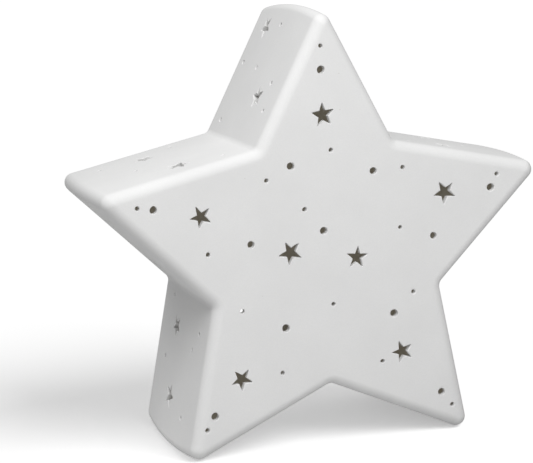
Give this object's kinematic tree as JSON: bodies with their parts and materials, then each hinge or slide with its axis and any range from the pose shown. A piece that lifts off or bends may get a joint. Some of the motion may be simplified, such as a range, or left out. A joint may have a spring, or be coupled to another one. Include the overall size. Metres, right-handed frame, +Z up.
{
  "type": "tealight holder",
  "caption": "Hollow star of matt white bisque porcelain, pierced with small stars and dots, that holds a tealight on an inner shelf behind an arched opening in its back.",
  "frame": {"origin": "on the floor, under the middle of the star's width and depth", "axes": "+X to the right as seen from the front, +Y from the front face to the back face, +Z up"},
  "size_m": [0.1932, 0.073, 0.1821],
  "materials": {
    "bisque_porcelain": "unglazed, matt, smooth",
    "tealight_aluminium": "thin drawn foil, satin",
    "candle_wax": "white paraffin wax, slightly translucent",
    "sustainer_steel": "tinned sheet",
    "wick_cotton": "waxed braided cotton"
  },
  "bodies": {
    "holder": {"star_shell": "bisque_porcelain", "candle_shelf": "bisque_porcelain"},
    "tealight": {"tealight_cup": "tealight_aluminium", "tealight_wax": "candle_wax", "wick_sustainer": "sustainer_steel", "wick": "wick_cotton"}
  },
  "joints": [
    {"name": "tealight_slide", "type": "slide", "parent": "holder", "child": "tealight", "axis": [0, 1, 0], "range_m": [0, 0.08]}
  ]
}
